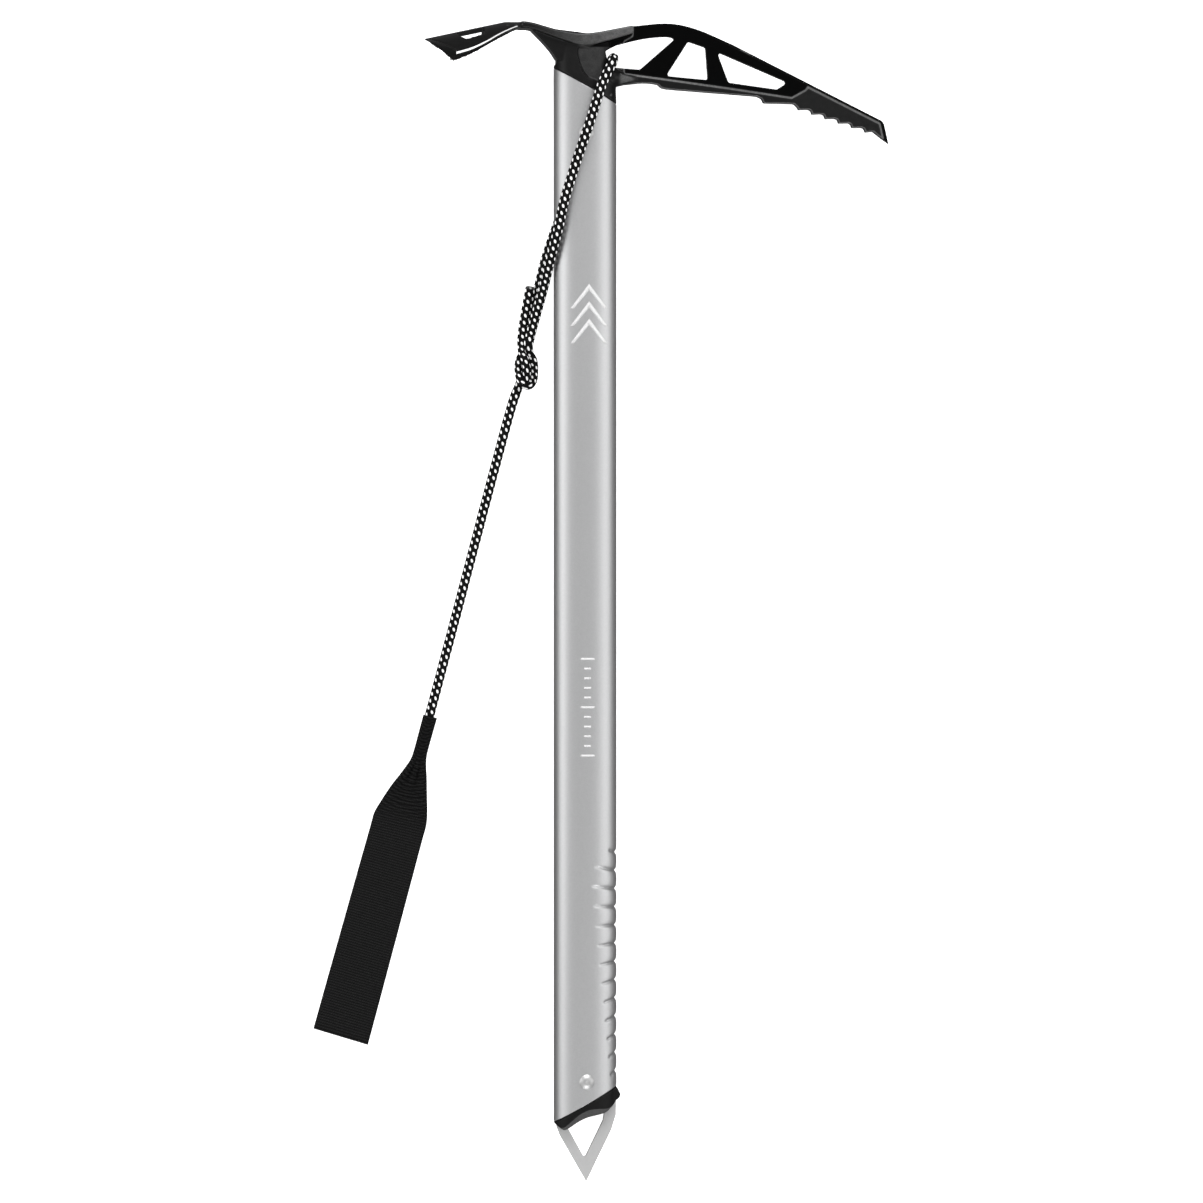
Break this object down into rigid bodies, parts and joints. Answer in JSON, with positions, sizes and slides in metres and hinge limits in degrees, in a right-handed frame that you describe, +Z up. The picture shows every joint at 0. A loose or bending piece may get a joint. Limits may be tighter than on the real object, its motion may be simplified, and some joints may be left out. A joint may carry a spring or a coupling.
{
  "type": "ice axe",
  "caption": "Forged-head ice axe with a toothed pick, arched adze, oval aluminium shaft with grip grooves, steel spike and a cord leash with a webbing wrist loop, lying on its side.",
  "frame": {"origin": "bottom centre of the axe's bounding box, leash not counted", "axes": "+X towards the pick, +Y up the shaft towards the head, +Z up from the floor the axe lies on"},
  "size_m": [0.2988, 0.6004, 0.05],
  "materials": {
    "shaft_aluminium": "satin anodised",
    "head_steel": "satin black coating on forged steel",
    "spike_steel": "fine brushed plate",
    "plug_plastic": "moulded, matte",
    "rivet_steel": "polished dome",
    "cord": "braided sheath, black with white flecks",
    "webbing": "ribbed flat webbing"
  },
  "bodies": {
    "axe": {"head": "head_steel", "shaft": "shaft_aluminium", "spike": "spike_steel", "spike_plug": "plug_plastic", "head_rivet": "rivet_steel", "spike_rivet": "rivet_steel"},
    "leash": {"leash_cord_strands": "cord", "leash_cord_tail": "cord", "leash_cord_lead": "cord", "leash_knot": "cord", "leash_sleeve": "webbing", "wrist_loop": "webbing"}
  },
  "joints": [
    {"name": "leash_swing", "type": "hinge", "parent": "axe", "child": "leash", "pos_m": [-0.0234, 0.279, 0.0173], "axis": [0, 0, 1], "range_deg": [-70, 0]}
  ]
}
